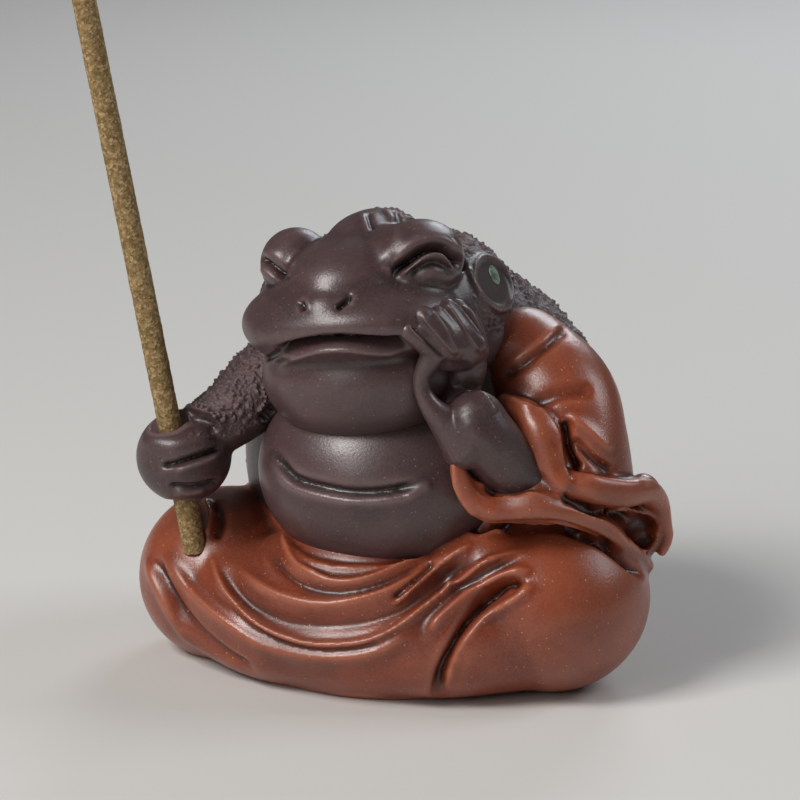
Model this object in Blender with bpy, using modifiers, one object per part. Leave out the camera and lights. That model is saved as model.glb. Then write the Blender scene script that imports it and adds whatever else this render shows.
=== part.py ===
"""Tea pet: a robed toad that sits cross-legged, with its cheek on one hand and an incense stick in the other.

The figure is one fired piece of two clays, dark for the toad and red for its robe. The stick is loose in its
fist. Lengths in this script are millimetres, and the finished meshes are scaled to metres. +Z is up and the
toad faces -Y, so its right hand is at -X. The origin is the middle of the flat base.
"""

import math

import bmesh
import bpy
import numpy as np
from mathutils import Euler, Matrix, Vector
from mathutils.bvhtree import BVHTree

METRES = 0.001

# Incense stick, and the room it has in the fist and in the knee
STICK_DIAMETER = 2.2
STICK_LENGTH = 62.0
STICK_FOOT = (-17.1, -9.0)
STICK_LEAN = (-0.15, -0.105)
STICK_GAP = 0.3
KNEE_HEIGHT = 11.2
SOCKET_DEPTH = 1.2
FIST_SLACK = 0.7
FIST_HOLE_LENGTH = 13.0

# Right fist, on the stick
FIST_HEIGHT = 20.9
FIST_WALL = 2.7
FIST_OFFSET = (1.0, -1.0)

# Head, tilted on its hand
HEAD_AT = (-1.0, -2.6, 34.3)
HEAD_TURN = (0.0, -7.0, -10.0)
EAR_LENGTH = 5.2
EAR_WIDTH = 4.2

# Torso and robe
BACK_AT = (1.7, 5.0, 18.5)
BACK_RADII = (17.8, 14.0, 19.0)
CLOTH_THICKNESS = 0.9
NECKLINE_AT = (0.0, 19.5, 19.0)
NECKLINE_SLOPE = (-0.36, 0.061, 0.931)
LAPEL_AT = (9.2, -14.0, 23.6)
LAPEL_SLOPE = (-0.45, -0.9, -0.22)

# Clay surface
GROUP_VOXEL = 0.38
FIGURE_VOXEL = 0.32
FIGURE_TRIANGLES = 10500
ROUND_SIDES = 32

# The drawing that the folds and creases follow: a three-quarter view of the figure, and a view of its back
DRAWING_UNITS_PER_MM = 10.8
DRAWING_CENTRE = (400.0, 400.0)
VIEW_TARGET = Vector((0.0, 0.0, 24.6))
VIEW_DISTANCE = 350.0

# Strokes. Each is a path on the drawing, how far it lifts the clay in mm, and how wide it is on the left and
# on the right of its way, in mm
HEAD_STROKES = {
    "mouth": ([(250, 361), (273, 352.6), (292, 347), (321, 343), (350, 341), (388, 341), (408, 346)],
              -1.5, 0.55, 0.45),
    "upper_lip": ([(248, 345), (270, 339), (292, 333), (321, 330), (350, 328), (388, 327)], 0.45, 1.0, 0.7),
    "lower_lip": ([(268, 372), (280, 364), (292, 358), (311, 351), (340, 348), (388, 349), (407, 352)],
                  0.55, 0.3, 0.9),
    "chin": ([(280, 380), (300, 368), (340, 362), (400, 362)], -0.5, 1.0, 1.4),
    "right_nostril": ([(299.5, 312), (301.5, 304), (303, 296)], -0.8, 0.32, 0.36),
    "left_nostril": ([(334, 311), (343, 302), (354, 293)], -0.8, 0.32, 0.32),
    "right_lid_slit": ([(258, 257), (266, 262), (274, 267), (289, 281)], -0.8, 0.32, 0.35),
    "right_lower_lid": ([(258, 267), (269, 275), (282, 288)], 0.45, 0.35, 0.5),
    "right_brow": ([(262, 250), (280, 258), (296, 274)], 0.3, 0.8, 0.4),
    "left_lid_slit": ([(396, 269), (407, 257), (420, 249), (436, 245.5), (449, 250), (457, 258), (464, 267)],
                      -1.3, 0.3, 0.55),
    "left_brow": ([(384, 264), (393, 250), (409, 238), (432, 232), (451, 238), (464, 255)], 0.55, 0.9, 0.5),
    "left_lower_lid": ([(403, 272), (420, 260), (434, 254), (447, 258), (457, 265), (467, 268)],
                       0.5, 0.25, 0.35),
    "left_lid_shadow": ([(408, 274), (425, 268), (445, 267)], -0.45, 0.5, 0.8),
    "brow_ridge": ([(380, 268), (386, 256), (397, 240)], 0.5, 0.9, 0.7),
    "crown_ridge": ([(362, 212), (366, 224), (371, 242)], 0.45, 0.45, 0.4),
    "crown_groove": ([(369, 214), (372, 224), (375, 236)], -0.6, 0.3, 0.3),
    "crown_ridge_left": ([(386, 212), (391, 220), (395, 228)], 0.4, 0.45, 0.5),
    "temple_fold": ([(466, 268), (474, 283), (486, 301)], 0.45, 0.3, 0.6),
}
TORSO_STROKES = {
    "belly_crease": ([(274, 452), (281, 466), (293, 477), (320, 487), (355, 494), (390, 492), (420, 486)],
                     -0.75, 0.5, 0.3),
    "belly_roll": ([(278, 470), (292, 486), (320, 496), (355, 503), (390, 501), (416, 495)], 0.4, 0.5, 0.9),
}
FIST_STROKES = {
    "first_gap": ([(150, 470), (168, 465), (191, 459), (222, 446)], -0.65, 0.35, 0.35),
    "second_gap": ([(164, 487), (177, 490), (191, 491), (212, 487)], -0.5, 0.35, 0.35),
    "first_finger": ([(140, 440), (160, 444), (182, 443), (206, 434)], 0.35, 0.8, 0.7),
    "thumb": ([(172, 405), (200, 412), (222, 429)], 0.35, 0.5, 0.5),
}
HAND_STROKES = {
    "gap_1": ([(412, 322), (421, 340), (432, 356)], -0.4, 0.28, 0.28),
    "gap_2": ([(426, 311), (438, 336), (449, 358)], -0.45, 0.28, 0.28),
    "gap_3": ([(441, 305), (452, 330), (465, 357)], -0.45, 0.28, 0.28),
    "gap_4": ([(456, 306), (467, 330), (475, 352)], -0.4, 0.28, 0.28),
}
ROBE_STROKES = {
    "hem": ([(264, 505), (280, 524), (304, 541), (337, 552), (369, 555), (419, 549), (445, 537), (468, 520)],
            0.55, 0.3, 0.8),
    "hem_valley": ([(285, 540), (304, 556), (337, 566), (375, 566), (420, 557), (460, 538)], -0.4, 0.5, 0.4),
    "fold_1": ([(282, 545), (293, 563), (315, 578), (343, 585), (380, 583), (420, 564), (470, 545)],
               0.5, 0.5, 0.45),
    "valley_1": ([(262, 566), (293, 580), (320, 590), (358, 590), (400, 580), (440, 562)], -0.35, 0.4, 0.4),
    "fold_2": ([(246, 577), (283, 593), (315, 602), (358, 600), (402, 589), (430, 576), (472, 548)],
               0.5, 0.5, 0.6),
    "valley_2": ([(228, 566), (246, 596), (275, 613), (320, 622), (365, 618), (402, 606), (440, 582), (490, 548)],
                 -0.7, 0.7, 0.6),
    "fold_3": ([(209, 552), (222, 580), (237, 605), (259, 625), (289, 638), (337, 643), (369, 640), (402, 626),
                (421, 610), (462, 576), (492, 557), (535, 547)], 0.95, 0.5, 0.9),
    "valley_3": ([(196, 566), (213, 598), (240, 624), (272, 641), (315, 648), (358, 648), (398, 634), (440, 602),
                  (490, 572)], -0.3, 0.4, 0.5),
    "fold_4": ([(163, 560), (185, 592), (213, 618), (241, 636), (272, 649), (315, 656), (358, 657), (402, 643),
                (432, 622), (462, 600), (494, 582), (530, 565)], 0.6, 0.8, 1.0),
    "valley_4": ([(157, 562), (174, 597), (202, 634), (252, 676)], -0.8, 0.6, 0.6),
    "fold_5": ([(146, 566), (162, 600), (186, 633), (225, 666)], 0.5, 0.6, 0.8),
    "knee_valley": ([(530, 578), (492, 593), (472, 613), (458, 634), (445, 660), (434, 697)], -1.5, 1.0, 0.7),
    "knee_edge": ([(500, 606), (484, 624), (472, 648), (464, 680)], 0.5, 1.2, 0.9),
    "stick_fold": ([(203, 500), (206, 520), (212, 542)], 0.6, 0.5, 0.5),
    "stick_shadow": ([(216, 505), (219, 525), (226, 548)], -0.5, 0.5, 0.5),
    "sash_groove": ([(470, 512), (486, 522), (539, 523), (584, 531), (625, 555), (648, 577)], -0.9, 0.5, 0.5),
    "sash_edge": ([(462, 492), (480, 500), (520, 499), (564, 503), (615, 528), (650, 560)], 0.4, 0.5, 0.7),
    "collar": ([(454.5, 450), (457, 477), (467, 499)], 0.5, 0.8, 0.3),
    "sleeve_rim": ([(503, 398), (524, 402), (547, 408), (558, 422), (561, 439), (563, 464), (578, 487)],
                   0.55, 0.4, 0.6),
    "sleeve_band": ([(510, 410), (530, 424), (541, 452), (552, 484)], 0.5, 0.9, 0.7),
    "sleeve_groove": ([(562, 418), (567, 432), (567, 452), (574, 472), (590, 487)], -0.9, 0.5, 0.4),
    "shoulder_crease": ([(561, 327), (541, 344), (522, 360)], -0.8, 0.35, 0.3),
    "shoulder_edge": ([(570, 337), (549, 353), (532, 369)], 0.35, 0.5, 0.5),
    "elbow_shadow": ([(546, 408), (572, 400), (600, 394)], -0.5, 0.5, 0.5),
    "elbow_band": ([(556, 418), (582, 409), (608, 407)], 0.35, 0.5, 0.6),
    "elbow_ridge": ([(568, 416), (592, 434), (614, 454)], 0.8, 0.35, 0.6),
    "elbow_valley": ([(570, 438), (590, 458), (620, 474)], -0.9, 0.8, 0.8),
    "sleeve_hem": ([(566, 481), (592, 480), (634, 490)], 0.6, 0.6, 0.7),
    "sleeve_shadow": ([(552, 491), (581, 504), (615, 512), (655, 508)], -0.8, 0.5, 0.5),
}
BACK_STROKES = {
    "back_fold_1": ([(240, 350), (300, 430), (420, 495), (590, 520)], 0.6, 1.1, 0.7),
    "back_valley_1": ([(228, 372), (292, 455), (415, 522), (596, 542)], -0.5, 0.8, 0.8),
    "back_fold_2": ([(220, 395), (285, 485), (410, 552), (600, 566)], 0.6, 1.1, 0.7),
    "back_valley_2": ([(216, 420), (280, 512), (400, 582), (590, 592)], -0.5, 0.8, 0.8),
    "back_fold_3": ([(212, 445), (275, 540), (390, 610), (570, 618)], 0.6, 1.1, 0.7),
    "back_fold_4": ([(214, 510), (270, 590), (370, 640), (520, 650)], 0.5, 1.1, 0.7),
}
FINGERS = [
    [(436, 374), (420, 354), (406, 332)],
    [(444, 368), (432, 342), (419, 316)],
    [(457, 366), (446, 338), (434, 308)],
    [(468, 364), (459, 336), (449, 306)],
    [(478, 364), (476, 338), (464, 307)],
]
FINGER_RADII = (1.4, 1.15, 0.85)
FINGER_LIFT = 1.1
EAR_PLACE = (491, 284)


class View:
    """A drawing of the figure from one side: where each point appears, and which way it looks."""

    def __init__(self, azimuth, elevation):
        a, e = math.radians(azimuth), math.radians(elevation)
        self.back = Vector((math.sin(a) * math.cos(e), -math.cos(a) * math.cos(e), math.sin(e)))
        self.right = Vector((math.cos(a), math.sin(a), 0.0))
        self.up = self.back.cross(self.right)
        self.eye = VIEW_TARGET + self.back * VIEW_DISTANCE

    def drawn(self, points):
        """Each point's place on the drawing, in drawing units."""
        near = points - np.array(VIEW_TARGET)
        scale = VIEW_DISTANCE / (VIEW_DISTANCE - near @ np.array(self.back))
        across = DRAWING_CENTRE[0] + near @ np.array(self.right) * scale * DRAWING_UNITS_PER_MM
        down = DRAWING_CENTRE[1] - near @ np.array(self.up) * scale * DRAWING_UNITS_PER_MM
        return np.stack([across, down], axis=1)

    def look(self, place):
        """The direction from the eye through a place on the drawing."""
        u = (place[0] - DRAWING_CENTRE[0]) / DRAWING_UNITS_PER_MM
        v = (DRAWING_CENTRE[1] - place[1]) / DRAWING_UNITS_PER_MM
        return (VIEW_TARGET + self.right * u + self.up * v - self.eye).normalized()


FRONT = View(15.0, 15.0)
REAR = View(180.0, 10.0)


def clear_scene():
    for old in list(bpy.data.objects):
        bpy.data.objects.remove(old)


def new_collection(name):
    made = bpy.data.collections.new(name)
    bpy.context.scene.collection.children.link(made)
    return made


clear_scene()
FIGURE = new_collection("tea_pet")
CLAY = new_collection("clay_pieces")


def link(name, mesh, collection):
    made = bpy.data.objects.new(name, mesh)
    collection.objects.link(made)
    return made


def as_helper(made):
    """Keeps a cutter or a piece of clay out of the finished figure."""
    made.hide_render = True
    made.display_type = "WIRE"
    return made


def smooth_path(points, per_span):
    """A Catmull-Rom curve through the points, whatever their number of coordinates."""
    points = np.array(points, float)
    padded = np.vstack([2 * points[0] - points[1], points, 2 * points[-1] - points[-2]])
    path = []
    for a, b, c, d in zip(padded, padded[1:], padded[2:], padded[3:]):
        for t in np.arange(per_span) / per_span:
            bend = (2 * a - 5 * b + 4 * c - d) * t**2 + (3 * b - a - 3 * c + d) * t**3
            path.append(b + 0.5 * ((c - a) * t + bend))
    path.append(points[-1])
    return np.array(path)


def turned(angles):
    return Euler([math.radians(angle) for angle in angles]).to_matrix().to_4x4()


def ball(name, at, radii, turn=(0, 0, 0)):
    """A ball of clay pressed to three radii."""
    bm = bmesh.new()
    bmesh.ops.create_uvsphere(bm, u_segments=48, v_segments=24, radius=1.0)
    bm.transform(Matrix.Translation(at) @ turned(turn) @ Matrix.Diagonal((*radii, 1.0)))
    mesh = bpy.data.meshes.new(name)
    bm.to_mesh(mesh)
    bm.free()
    return link(name, mesh, CLAY)


def roll(name, points, radii, closed=False):
    """A roll of clay along a smooth path. Each point has its own radius, and an open roll has round ends."""
    given = [(*point, radius) for point, radius in zip(points, radii)]
    if closed:
        path = smooth_path([*given, given[0]], 4)[:-1]
    else:
        path = smooth_path(given, 8)
        ahead = (path[1] - path[0])[:3]
        behind = (path[-1] - path[-2])[:3]
        ahead /= np.linalg.norm(ahead)
        behind /= np.linalg.norm(behind)
        caps = [math.sin(math.radians(angle)) for angle in (85, 68, 45, 22)]
        start, end = path[0], path[-1]
        first = [(*(start[:3] - ahead * start[3] * c), start[3] * math.sqrt(1 - c * c)) for c in caps]
        last = [(*(end[:3] + behind * end[3] * c), end[3] * math.sqrt(1 - c * c)) for c in reversed(caps)]
        path = np.vstack([first, path, last])
    curve = bpy.data.curves.new(name, "CURVE")
    curve.dimensions = "3D"
    curve.bevel_depth = 1.0
    curve.bevel_resolution = 5
    curve.use_fill_caps = not closed
    spline = curve.splines.new("POLY")
    spline.use_cyclic_u = closed
    spline.points.add(len(path) - 1)
    for point, (x, y, z, radius) in zip(spline.points, path):
        point.co = (x, y, z, 1.0)
        point.radius = radius
    return link(name, curve, CLAY)


def head_frame():
    return Matrix.Translation(HEAD_AT) @ turned(HEAD_TURN)


def head_ball(name, at, radii, turn=(0, 0, 0)):
    made = ball(name, at, radii, turn)
    made.data.transform(head_frame())
    return made


def skin_of(piece, graph):
    """The piece's own closed mesh, with the loose caps of a curve welded on."""
    mesh = bpy.data.meshes.new_from_object(piece.evaluated_get(graph))
    bm = bmesh.new()
    bm.from_mesh(mesh)
    bmesh.ops.remove_doubles(bm, verts=bm.verts, dist=0.0005)
    bmesh.ops.recalc_face_normals(bm, faces=bm.faces)
    bm.to_mesh(mesh)
    bm.free()
    return mesh


def fused(name, pieces, voxel, rounds):
    """The pieces joined into one skin of clay, and smoothed over that many rounds."""
    graph = bpy.context.evaluated_depsgraph_get()
    bm = bmesh.new()
    for piece in pieces:
        mesh = skin_of(piece, graph)
        bm.from_mesh(mesh)
        bpy.data.meshes.remove(mesh)
        bpy.data.objects.remove(piece)
    mesh = bpy.data.meshes.new(name)
    bm.to_mesh(mesh)
    bm.free()
    made = link(name, mesh, CLAY)
    remesh = made.modifiers.new("one_skin", "REMESH")
    remesh.mode = "VOXEL"
    remesh.voxel_size = voxel
    if rounds:
        smooth = made.modifiers.new("smoothed", "SMOOTH")
        smooth.factor = 0.5
        smooth.iterations = rounds
    bake(made)
    return made


def bake(made):
    """Replaces the object's mesh by the mesh that its modifiers make."""
    graph = bpy.context.evaluated_depsgraph_get()
    baked = bpy.data.meshes.new_from_object(made.evaluated_get(graph))
    made.modifiers.clear()
    made.data = baked


def points_of(mesh):
    points = np.empty(len(mesh.vertices) * 3, np.float32)
    mesh.vertices.foreach_get("co", points)
    return points.reshape(-1, 3).astype(float)


def normals_of(mesh):
    normals = np.empty(len(mesh.vertices) * 3, np.float32)
    mesh.vertex_normals.foreach_get("vector", normals)
    return normals.reshape(-1, 3).astype(float)


def along(places, path):
    """For each place: its distance to the path, the side it is on and how far along it lies, from 0 to 1."""
    best = np.full(len(places), np.inf)
    side = np.zeros(len(places))
    share = np.zeros(len(places))
    lengths = np.linalg.norm(np.diff(path, axis=0), axis=1)
    starts = np.concatenate([[0], np.cumsum(lengths)])
    for index, (a, b) in enumerate(zip(path, path[1:])):
        span = b - a
        t = np.clip(((places - a) @ span) / (span @ span), 0, 1)
        off = places - a - t[:, None] * span
        distance = np.hypot(off[:, 0], off[:, 1])
        closer = distance < best
        best[closer] = distance[closer]
        side[closer] = np.sign(span[0] * off[:, 1] - span[1] * off[:, 0])[closer]
        share[closer] = ((starts[index] + t * lengths[index]) / starts[-1])[closer]
    return best, side, share


def modelled(made, strokes, view):
    """Draws the strokes on the clay that the view sees."""
    mesh = made.data
    points, normals = points_of(mesh), normals_of(mesh)
    places = view.drawn(points)
    to_eye = np.array(view.eye) - points
    to_eye /= np.linalg.norm(to_eye, axis=1)[:, None]
    facing = np.clip((normals * to_eye).sum(1) / 0.3, 0, 1)
    moved = np.zeros(len(points))
    for path, height, left, right in strokes.values():
        line = smooth_path(path, 5)
        reach = 3.0 * max(left, right) * DRAWING_UNITS_PER_MM
        inside = (places > line.min(0) - reach).all(1) & (places < line.max(0) + reach).all(1)
        near = np.flatnonzero((facing > 0) & inside)
        distance, side, share = along(places[near], line)
        width = np.where(side > 0, right, left) * DRAWING_UNITS_PER_MM
        ends = np.clip(np.minimum(share, 1 - share) / 0.15, 0, 1) ** 0.7
        moved[near] += height * np.exp(-((distance / width) ** 2)) * ends * facing[near]
    points += normals * moved[:, None]
    mesh.vertices.foreach_set("co", points.astype(np.float32).ravel())
    mesh.update()


def tree_of(made):
    bm = bmesh.new()
    bm.from_mesh(made.data)
    tree = BVHTree.FromBMesh(bm)
    bm.free()
    return tree


def laid_on(base, path, lift):
    """Points on the base's skin where a path on the drawing falls, raised towards the viewer by lift."""
    tree = tree_of(base)
    found = []
    for place in path:
        look = FRONT.look(place)
        hit = tree.ray_cast(FRONT.eye, look)[0]
        if hit is not None:
            found.append(hit - look * lift)
    return found


def cut_off(made, at, normal):
    """Cuts away what lies on the side that the normal points to, and closes the cut."""
    bm = bmesh.new()
    bm.from_mesh(made.data)
    everything = [*bm.verts, *bm.edges, *bm.faces]
    bmesh.ops.bisect_plane(bm, geom=everything, dist=0.0001, plane_co=at, plane_no=normal, clear_outer=True)
    bmesh.ops.holes_fill(bm, edges=bm.edges, sides=0)
    bmesh.ops.triangulate(bm, faces=[face for face in bm.faces if len(face.verts) > 4])
    bm.to_mesh(made.data)
    bm.free()


def stick_point(height):
    """The middle of the stick at that height."""
    return Vector((*STICK_FOOT, KNEE_HEIGHT)) + Vector((*STICK_LEAN, 1.0)) * (height - KNEE_HEIGHT)


def ears(head):
    """The ear discs: one where the drawing shows it, and its mirror image on the other side of the head."""
    tree = tree_of(head)
    seen = tree.ray_cast(FRONT.eye, FRONT.look(EAR_PLACE))[0]
    local = head_frame().inverted() @ seen
    made = []
    for side in (1, -1):
        at, normal = tree.find_nearest(head_frame() @ Vector((local.x * side, local.y, local.z)))[:2]
        back = (Vector((0.15 * side, 0.75, -0.65))).normalized()
        long_way = (back - normal * back.dot(normal)).normalized()
        short_way = normal.cross(long_way)
        angles = [math.radians(angle) for angle in range(0, 360, 30)]
        along_ear, across_ear = long_way * (EAR_LENGTH / 2), short_way * (EAR_WIDTH / 2)
        ring = [at + along_ear * math.cos(a) + across_ear * math.sin(a) for a in angles]
        made.append(roll(f"ear_ring_{side}", ring, [0.45] * len(ring), closed=True))
        disc = ball(f"ear_disc_{side}", (0, 0, 0), (EAR_LENGTH / 2, EAR_WIDTH / 2, 0.45))
        frame = Matrix((long_way, short_way, normal)).transposed().to_4x4()
        disc.data.transform(Matrix.Translation(at) @ frame)
        made.append(disc)
    return made


def make_head():
    masses = [
        head_ball("cranium", (-0.3, 1.3, -0.1), (11.8, 12.0, 7.2)),
        head_ball("muzzle", (0.2, -7.0, 0.3), (10.3, 8.0, 4.5)),
        head_ball("forehead", (0.4, -5.4, 3.4), (6.2, 7.6, 4.4)),
        head_ball("nose", (0.3, -11.8, 2.2), (3.0, 2.8, 2.2)),
        head_ball("crown", (0.4, -1.5, 6.4), (3.6, 6.5, 2.6)),
        head_ball("right_eye", (-5.9, -4.6, 4.9), (3.2, 3.6, 3.3)),
        head_ball("left_eye", (7.2, -4.6, 5.6), (4.3, 4.3, 3.5)),
        head_ball("throat", (0, -4.6, -5.0), (9.6, 9.0, 6.6)),
        head_ball("jowl", (0, 2.0, -4.0), (11.2, 9.0, 6.0)),
    ]
    head = fused("head", masses, GROUP_VOXEL, 10)
    head = fused("head", [head, *ears(head)], GROUP_VOXEL, 1)
    modelled(head, HEAD_STROKES, FRONT)
    return head


def make_torso():
    masses = [
        ball("back", BACK_AT, BACK_RADII),
        ball("belly", (0.0, -4.8, 19.4), (11.9, 10.6, 9.6)),
    ]
    torso = fused("torso", masses, GROUP_VOXEL, 8)
    modelled(torso, TORSO_STROKES, FRONT)
    return torso


def make_right_arm():
    fist_at = stick_point(FIST_HEIGHT) + Vector((*FIST_OFFSET, 0.0))
    fist_radius = STICK_DIAMETER / 2 + FIST_SLACK + FIST_WALL
    wrist = fist_at + Vector((1.0, 1.4, 1.6))
    shoulder_to_wrist = [(-8.5, 0, 27.4), (-12.2, -3.3, 26.2), (-14.6, -6.8, 23.9), tuple(wrist)]
    masses = [
        roll("right_forearm", shoulder_to_wrist, [5.8, 4.1, 3.2, 2.9]),
        ball("right_fist", fist_at, (fist_radius, fist_radius - 0.1, fist_radius - 0.3)),
    ]
    arm = fused("right_arm", masses, GROUP_VOXEL, 4)
    modelled(arm, FIST_STROKES, FRONT)
    return arm


def make_left_arm(head):
    elbow_to_wrist = [(14.8, -8.0, 20.9), (12.4, -10.8, 22.6), (10.0, -12.8, 25.8), (7.4, -14.0, 30.0)]
    masses = [
        roll("left_forearm", elbow_to_wrist, [3.2, 3.3, 3.1, 2.7]),
        ball("left_palm", (8.4, -12.7, 31.0), (3.2, 2.4, 3.0), (0, 15, 0)),
    ]
    for index, finger in enumerate(FINGERS):
        masses.append(roll(f"finger_{index}", laid_on(head, finger, FINGER_LIFT), FINGER_RADII))
    arm = fused("left_arm", masses, GROUP_VOXEL * 0.7, 3)
    modelled(arm, HAND_STROKES, FRONT)
    return arm


def robe_over_back():
    """The cloth round the back, a little larger than it, open above the neckline and in front of the belly."""
    cloth = ball("cloth", BACK_AT, [radius + CLOTH_THICKNESS for radius in BACK_RADII])
    cut_off(cloth, NECKLINE_AT, NECKLINE_SLOPE)
    cut_off(cloth, LAPEL_AT, LAPEL_SLOPE)
    return cloth


def make_robe():
    masses = [
        ball("right_knee", (-16.3, -2.0, 7.1), (8.3, 9.0, 8.2)),
        roll("right_shin", [(-15.0, -5.0, 6.4), (-9.0, -9.5, 5.6), (-3.0, -11.5, 5.2)], [6.6, 6.0, 5.0]),
        ball("left_knee", (15.6, -4.5, 8.2), (9.0, 10.0, 8.6)),
        roll("left_shin", [(12.0, -8.0, 6.6), (7.0, -11.0, 5.6), (2.0, -12.0, 5.0)], [6.6, 5.6, 4.8]),
        ball("apron", (-0.5, -7.0, 6.4), (15.0, 10.2, 8.4)),
        ball("base", (-0.5, -1.0, 3.4), (21.5, 14.6, 5.4)),
        ball("seat", (0.0, 5.0, 8.0), (20.0, 14.6, 10.5)),
    ]
    legs = fused("legs", masses, GROUP_VOXEL, 14)
    robed_arm = [(11.0, 1.0, 28.2), (15.0, -1.6, 26.0), (17.0, -3.6, 22.8), (18.2, -4.0, 19.4)]
    sleeve_lip = [(13.4, -8.0, 27.4), (15.6, -9.5, 25.1), (17.0, -9.6, 21.9), (19.4, -8.0, 19.8)]
    sleeve = [
        roll("robed_arm", robed_arm, [5.8, 5.8, 5.3, 4.8]),
        roll("sleeve_lip", sleeve_lip, [1.7, 2.0, 1.9, 1.6]),
        roll("sleeve_hem", [(17.6, -7.4, 20.6), (20.2, -4.0, 19.2), (22.4, -0.5, 18.0)], [1.6, 1.9, 2.0]),
        ball("sleeve_corner", (23.0, 0.6, 15.0), (2.2, 4.0, 4.4)),
    ]
    sleeve = fused("sleeve", sleeve, GROUP_VOXEL, 8)
    collar_and_sash = [
        (9.0, -13.6, 23.9), (9.5, -13.8, 21.5), (10.4, -13.4, 19.3), (13.2, -12.4, 18.5), (16.4, -10.6, 18.2),
        (19.0, -8.2, 17.2), (21.8, -4.5, 14.5), (23.6, 0.5, 10.6),
    ]
    sash = roll("sash", collar_and_sash, [0.9, 1.2, 1.6, 1.7, 1.7, 1.6, 1.5, 1.4])
    lap = ball("lap", (14.5, -6.8, 18.2), (6.4, 5.4, 3.6))
    robe = fused("robe", [legs, sleeve, sash, lap, robe_over_back()], GROUP_VOXEL, 3)
    modelled(robe, ROBE_STROKES, FRONT)
    modelled(robe, BACK_STROKES, REAR)
    return robe


def clay(name, colour, roughness):
    material = bpy.data.materials.new(name)
    material.use_nodes = True
    shader = material.node_tree.nodes["Principled BSDF"]
    shader.inputs["Base Color"].default_value = (*colour, 1.0)
    shader.inputs["Roughness"].default_value = roughness
    shader.inputs["Metallic"].default_value = 0.0
    return material


def rod(name, foot, diameter, length, collection):
    """A round rod from the foot up along the stick's lean."""
    bm = bmesh.new()
    radius = diameter / 2
    bmesh.ops.create_cone(bm, cap_ends=True, segments=ROUND_SIDES, radius1=radius, radius2=radius, depth=length)
    lean = Vector((*STICK_LEAN, 1.0)).normalized()
    middle = Vector(foot) + lean * (length / 2)
    bm.transform(Matrix.Translation(middle) @ lean.to_track_quat("Z", "Y").to_matrix().to_4x4())
    mesh = bpy.data.meshes.new(name)
    bm.to_mesh(mesh)
    bm.free()
    return link(name, mesh, collection)


def to_metres(made):
    made.data.transform(Matrix.Scale(METRES, 4))


def coloured(figure, dark_pieces, robe):
    """Gives each face the clay of the piece that it came from."""
    figure.data.materials.append(clay("dark_clay", (0.058, 0.033, 0.033), 0.55))
    figure.data.materials.append(clay("red_clay", (0.19, 0.055, 0.03), 0.5))
    dark = [tree_of(piece) for piece in dark_pieces]
    red = tree_of(robe)
    for polygon in figure.data.polygons:
        to_dark = min(tree.find_nearest(polygon.center)[3] for tree in dark)
        polygon.material_index = int(red.find_nearest(polygon.center)[3] < to_dark)


def make_figure():
    head = make_head()
    torso = make_torso()
    right_arm = make_right_arm()
    left_arm = make_left_arm(head)
    robe = make_robe()
    pieces = [head, torso, right_arm, left_arm, robe]
    sources = [link(f"{piece.name}_source", piece.data.copy(), CLAY) for piece in pieces]
    figure = fused("toad_figure", pieces, FIGURE_VOXEL, 1)
    thinner = figure.modifiers.new("fewer_faces", "DECIMATE")
    thinner.ratio = FIGURE_TRIANGLES / (2 * len(figure.data.polygons))
    bake(figure)
    cut_off(figure, (0, 0, 0), (0, 0, -1))
    coloured(figure, sources[:-1], sources[-1])
    for source in sources:
        as_helper(source)
    CLAY.objects.unlink(figure)
    FIGURE.objects.link(figure)
    figure.data.shade_smooth()
    return figure, sources[-1]


def make_stick(figure, robe):
    """The stick, its dimple in the knee and its hole through the fist."""
    knee = tree_of(robe).ray_cast(Vector((*STICK_FOOT, FIST_HEIGHT)), Vector((0, 0, -1)))[0]
    socket_floor = Vector((*STICK_FOOT, knee.z - SOCKET_DEPTH))
    lean = Vector((*STICK_LEAN, 1.0)).normalized()
    foot = socket_floor + lean * STICK_GAP
    stick = rod("incense_stick", foot, STICK_DIAMETER, STICK_LENGTH, FIGURE)
    stick.data.materials.append(clay("incense", (0.26, 0.17, 0.09), 0.85))
    stick.data.shade_smooth()
    stick.data.set_sharp_from_angle(angle=math.radians(40))
    socket = rod("knee_socket", socket_floor, STICK_DIAMETER + 2 * STICK_GAP, SOCKET_DEPTH * 3, CLAY)
    fist_bottom = foot + lean * (FIST_HEIGHT - foot.z - FIST_HOLE_LENGTH / 2)
    fist_hole = rod("fist_hole", fist_bottom, STICK_DIAMETER + 2 * FIST_SLACK, FIST_HOLE_LENGTH, CLAY)
    for cutter in (socket, fist_hole):
        as_helper(cutter)
        to_metres(cutter)
        cut = figure.modifiers.new(cutter.name, "BOOLEAN")
        cut.operation = "DIFFERENCE"
        cut.object = cutter
    to_metres(stick)


toad, robe_source = make_figure()
make_stick(toad, robe_source)
to_metres(toad)
CLAY.hide_render = True
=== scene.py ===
import math

import bmesh
import bpy
import numpy as np
from mathutils import Euler, Matrix, Vector, noise
from mathutils.bvhtree import BVHTree


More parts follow.
